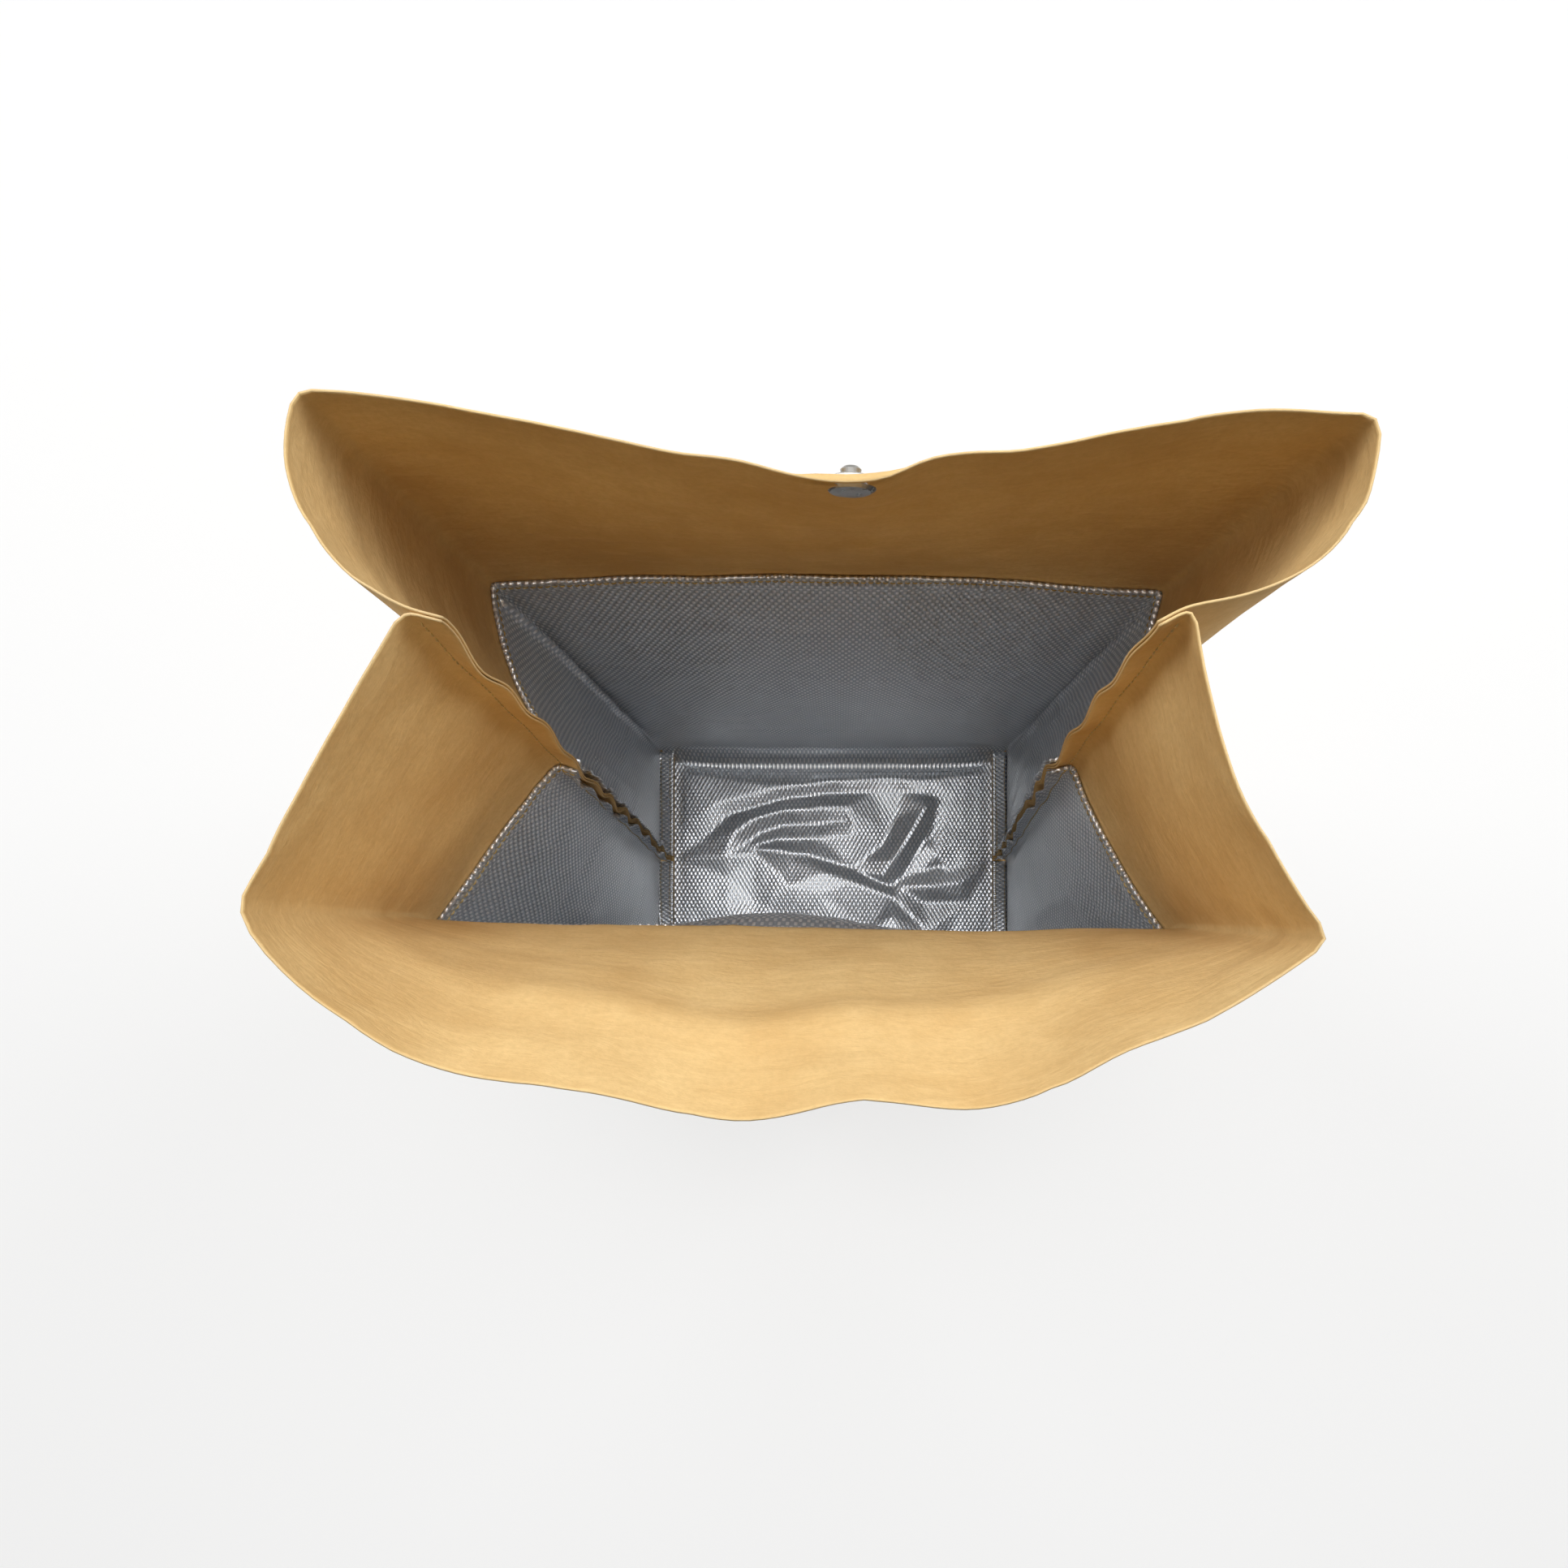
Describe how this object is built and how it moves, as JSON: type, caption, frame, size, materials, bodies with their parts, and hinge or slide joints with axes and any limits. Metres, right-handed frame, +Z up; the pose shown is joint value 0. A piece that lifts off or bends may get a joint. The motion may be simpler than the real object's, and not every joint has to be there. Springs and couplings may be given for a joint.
{
  "type": "paper cooler bag",
  "caption": "Tall folded kraft-paper lunch bag with tucked gussets, a foil lining below its open top, and a press stud that holds the folded top.",
  "frame": {"origin": "middle of the base's underside", "axes": "+Z up, +Y towards the back panel that carries the press stud, +X to the right as seen from the front"},
  "size_m": [0.2418, 0.1541, 0.3834],
  "materials": {
    "kraft_paper": "matte, washed and softly creased",
    "foil_lining": "bright foil film, embossed with small dots",
    "sewing_thread": "spun, tan yellow",
    "snap_metal": "gunmetal"
  },
  "bodies": {
    "root": {"paper_shell": "kraft_paper", "foil_lining": "foil_lining", "hem_thread_front": "sewing_thread", "hem_thread_back": "sewing_thread", "side_seam_thread_left": "sewing_thread", "side_seam_thread_right": "sewing_thread", "base_seam_thread_left": "sewing_thread", "base_seam_thread_right": "sewing_thread", "base_topstitch_thread_left": "sewing_thread", "base_topstitch_thread_right": "sewing_thread", "snap_stud_cap": "snap_metal", "snap_stud": "snap_metal", "snap_socket": "snap_metal", "snap_socket_post": "snap_metal"}
  },
  "joints": []
}
